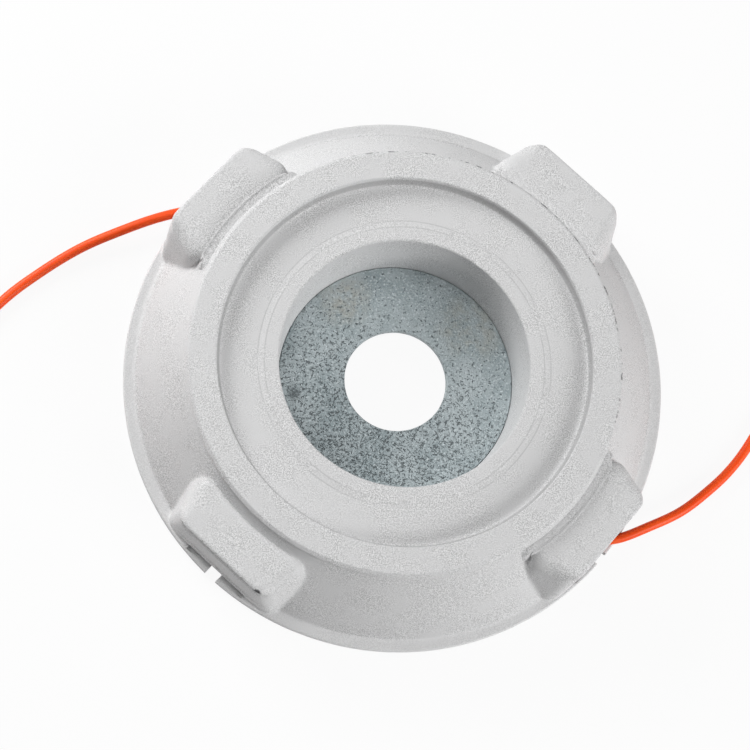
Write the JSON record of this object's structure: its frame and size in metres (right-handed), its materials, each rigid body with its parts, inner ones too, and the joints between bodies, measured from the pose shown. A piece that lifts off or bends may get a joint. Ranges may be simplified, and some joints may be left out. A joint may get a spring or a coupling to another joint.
{
  "type": "trimmer head",
  "caption": "Cast fixed-line brushcutter head with a deep nut cup, a steel clamping plate, raised lugs with line slots, and a loose nylon line.",
  "frame": {"origin": "on the spin axis, in the plane of the open back that goes against the gearbox", "axes": "+Z along the spin axis, out of the nut cup, away from the gearbox; +X to the right in the picture"},
  "size_m": [0.2364, 0.1457, 0.0244],
  "materials": {
    "cast_aluminium": "fine blasted casting",
    "zinc_steel": "zinc plated, stained",
    "orange_nylon": "extruded nylon, slightly translucent"
  },
  "bodies": {
    "root": {"head_casting": "cast_aluminium", "clamping_plate": "zinc_steel", "trimmer_line": "orange_nylon"}
  },
  "joints": []
}
